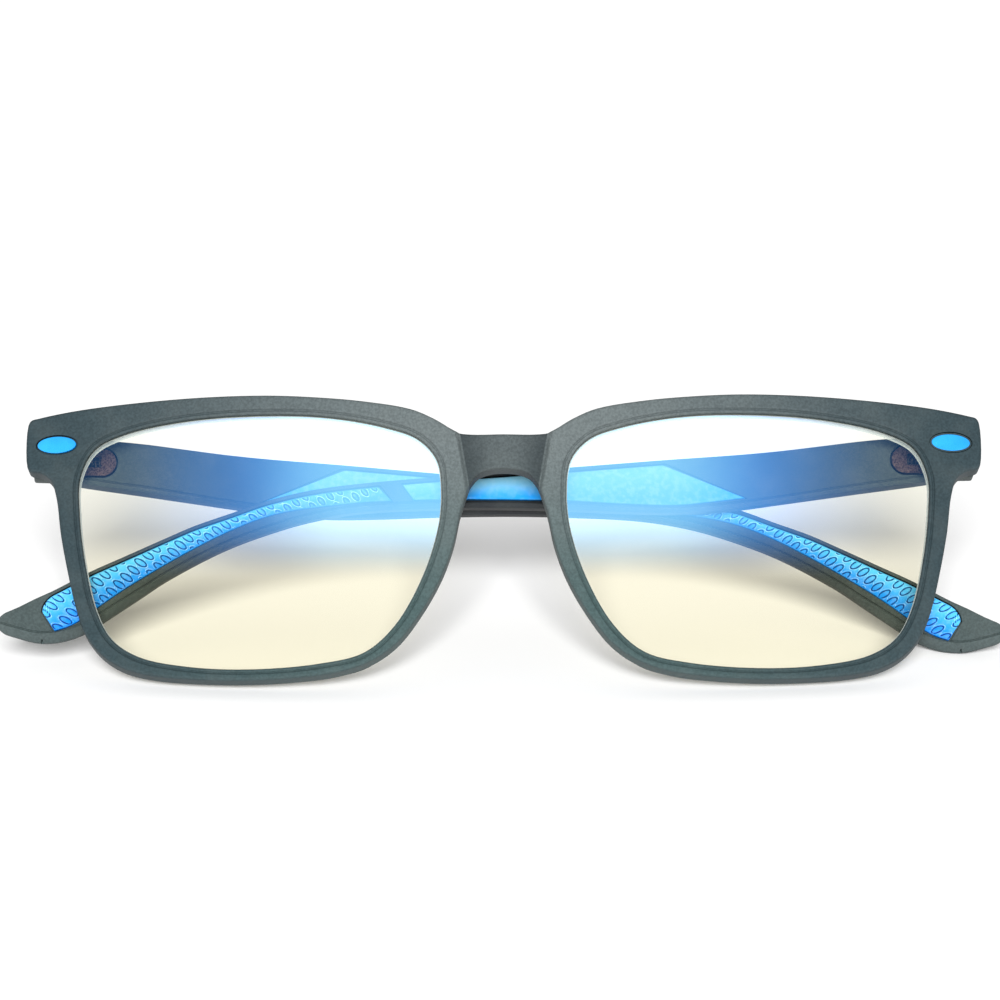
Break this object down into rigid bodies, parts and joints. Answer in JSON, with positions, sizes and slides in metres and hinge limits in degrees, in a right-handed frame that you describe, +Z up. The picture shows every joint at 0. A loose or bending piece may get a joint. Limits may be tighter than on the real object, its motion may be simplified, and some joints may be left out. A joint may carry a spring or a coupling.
{
  "type": "blue light glasses",
  "caption": "Small matt dark green-grey plastic glasses with pale yellow blue-light lenses and folding temples lined in bright blue, on spring hinges.",
  "frame": {"origin": "middle of the flat recessed front face of the bridge", "axes": "+X to the wearer's left, which is the right of the picture; +Z up from the table that the folded glasses lie on, their front leaning back so that it makes 58 degrees with the table; +Y towards the back, away from someone looking at the front"},
  "size_m": [0.1333, 0.0299, 0.0349],
  "materials": {
    "frame_plastic": "fine matt dark green-grey moulding",
    "lens": "clear, pale yellow, with a blue reflecting coating",
    "blue_plastic": "smooth bright blue",
    "blue_rubber": "soft bright blue, embossed",
    "hinge_metal": "satin",
    "dark_metal": "darker satin",
    "spring_metal": "drawn wire"
  },
  "bodies": {
    "front": {"front_frame": "frame_plastic", "left_lens": "lens", "right_lens": "lens", "left_front_inlay": "blue_plastic", "right_front_inlay": "blue_plastic", "left_hinge_leaf": "hinge_metal", "right_hinge_leaf": "hinge_metal", "left_hinge_screw": "hinge_metal", "right_hinge_screw": "hinge_metal"},
    "left_slider": {"left_hinge_slider": "dark_metal", "left_spring_cap": "hinge_metal", "left_hinge_spring": "spring_metal"},
    "left_arm": {"left_temple": "frame_plastic", "left_temple_panel": "blue_plastic", "left_temple_grip": "blue_rubber", "left_spring_housing": "hinge_metal"},
    "right_slider": {"right_hinge_slider": "dark_metal", "right_spring_cap": "hinge_metal", "right_hinge_spring": "spring_metal"},
    "right_arm": {"right_temple": "frame_plastic", "right_temple_panel": "blue_plastic", "right_temple_grip": "blue_rubber", "right_spring_housing": "hinge_metal"}
  },
  "joints": [
    {"name": "left_temple_hinge", "type": "hinge", "parent": "front", "child": "left_slider", "pos_m": [0.0597, 0.0101, -0.00469], "axis": [0, -0.5299, -0.848], "range_deg": [0, 89]},
    {"name": "left_spring_travel", "type": "slide", "parent": "left_slider", "child": "left_arm", "axis": [-0.9999, 0.0089, -0.0055], "range_m": [0, 0.0012], "stiffness_N_per_m": 600, "springref_m": -0.0008, "deforming": ["left_hinge_spring"]},
    {"name": "right_temple_hinge", "type": "hinge", "parent": "front", "child": "right_slider", "pos_m": [-0.0597, 0.0101, -0.00469], "axis": [0, 0.5299, 0.848], "range_deg": [0, 85.5]},
    {"name": "right_spring_travel", "type": "slide", "parent": "right_slider", "child": "right_arm", "axis": [0.9974, 0.0606, -0.0379], "range_m": [0, 0.0012], "stiffness_N_per_m": 600, "springref_m": -0.0008, "deforming": ["right_hinge_spring"]}
  ]
}
